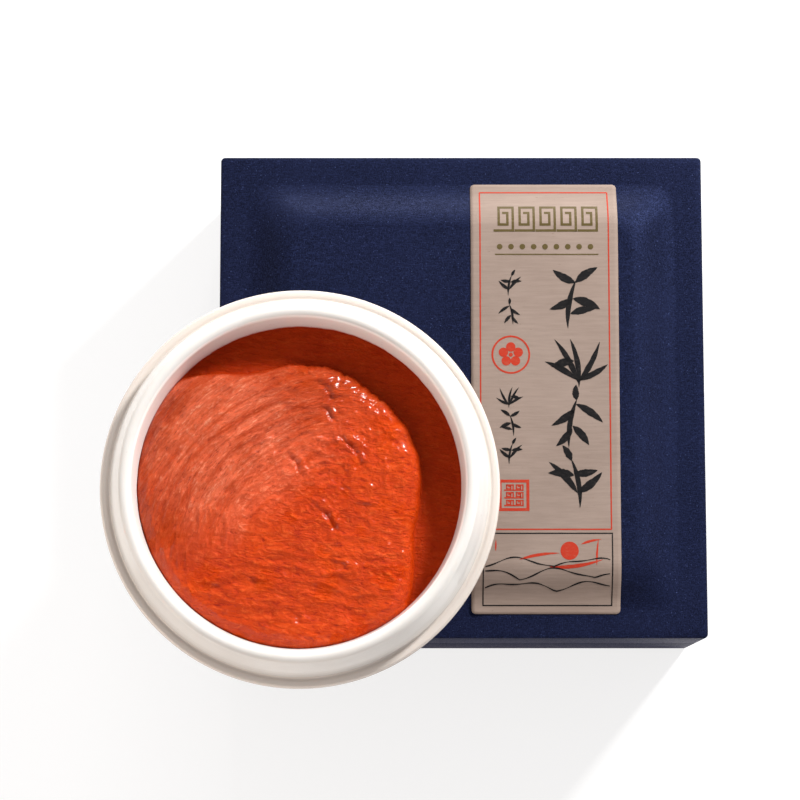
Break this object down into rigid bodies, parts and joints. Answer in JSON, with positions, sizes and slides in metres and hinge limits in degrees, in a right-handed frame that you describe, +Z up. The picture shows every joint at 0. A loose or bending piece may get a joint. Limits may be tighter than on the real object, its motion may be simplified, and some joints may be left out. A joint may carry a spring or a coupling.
{
  "type": "seal paste box",
  "caption": "Square padded presentation case with a lift-off lid, fitted insert and lidded porcelain pot of red seal paste, shown open on the closed case.",
  "frame": {"origin": "centre of the case's underside, on the plane it rests on", "axes": "+Z up out of the case's lid, +X to the right across the case, +Y to its back; the label lies on the +X half of the lid"},
  "size_m": [0.1512, 0.1376, 0.0895],
  "materials": {
    "navy_fabric": "fine satin weave with a faint pearl sheen",
    "greyboard": "matt, flecked recycled pulp",
    "kraft_tape": "matt gummed paper",
    "underside_paper": "matt grained covering paper",
    "lining_paper": "matt laid paper",
    "neck_paper": "satin gold paper",
    "foam": "closed-cell foam",
    "sponge": "open-cell sponge",
    "gold_satin": "glossy satin weave",
    "label_paper": null,
    "porcelain": "clear glaze over white body, bare at foot and seat",
    "seal_paste": "oily, fibrous and folded"
  },
  "bodies": {
    "base": {"base_underside_sheet": "underside_paper", "base_bottom_board": "greyboard", "base_front_board": "greyboard", "base_back_board": "greyboard", "base_left_board": "greyboard", "base_right_board": "greyboard", "base_corner_tapes": "kraft_tape", "base_fabric_wrap": "navy_fabric", "base_lining": "lining_paper", "neck_front": "greyboard", "neck_back": "greyboard", "neck_left": "greyboard", "neck_right": "greyboard", "neck_paper": "neck_paper", "foam_insert": "foam", "recess_pad": "foam", "insert_satin_cover": "gold_satin"},
    "case_lid": {"lid_top_board": "greyboard", "lid_front_board": "greyboard", "lid_back_board": "greyboard", "lid_left_board": "greyboard", "lid_right_board": "greyboard", "lid_corner_tapes": "kraft_tape", "lid_sponge_pad": "sponge", "lid_fabric_wrap": "navy_fabric", "lid_lining": "lining_paper", "lid_label": "label_paper"},
    "pot": {"pot_body": "porcelain", "seal_paste": "seal_paste"},
    "pot_lid": {"pot_lid": "porcelain"}
  },
  "joints": [
    {"name": "case_lid_lift", "type": "slide", "parent": "base", "child": "case_lid", "axis": [0, 0, 1], "range_m": [0, 0.09]},
    {"name": "pot_lift", "type": "slide", "parent": "case_lid", "child": "pot", "axis": [0, 0, 1], "range_m": [0, 0.06]},
    {"name": "pot_lid_lift", "type": "slide", "parent": "base", "child": "pot_lid", "axis": [0, 0, 1], "range_m": [0, 0.045]}
  ],
  "couplings": [
    {"joint": "pot_lid_lift", "follows": "case_lid_lift", "ratio": 0.5}
  ]
}
